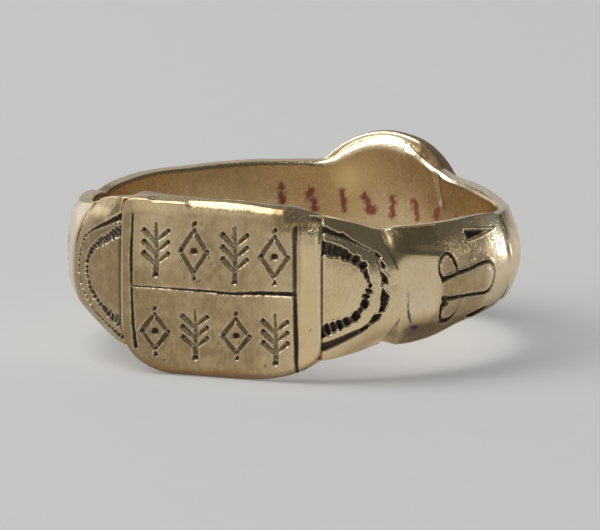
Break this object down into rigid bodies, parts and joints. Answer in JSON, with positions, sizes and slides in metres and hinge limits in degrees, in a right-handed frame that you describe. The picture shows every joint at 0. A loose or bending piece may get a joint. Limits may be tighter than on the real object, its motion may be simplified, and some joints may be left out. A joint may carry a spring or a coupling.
{
  "type": "engraved gold finger ring",
  "caption": "Lobed gold finger ring with a wide domed bezel plate, grooved shoulder panels, scroll-cut side lobes and a round medallion opposite the plate.",
  "frame": {"origin": "on the axis of the finger hole, level with the surface that the ring lies on", "axes": "+Z along the finger axis, upwards; the bezel plate faces -Y; +X runs to the right when the plate is seen from in front"},
  "size_m": [0.0215, 0.0215, 0.0087],
  "materials": {
    "gold": "satin, worn, with dark residue in the cuts"
  },
  "bodies": {
    "root": {"ring": "gold"}
  },
  "joints": []
}
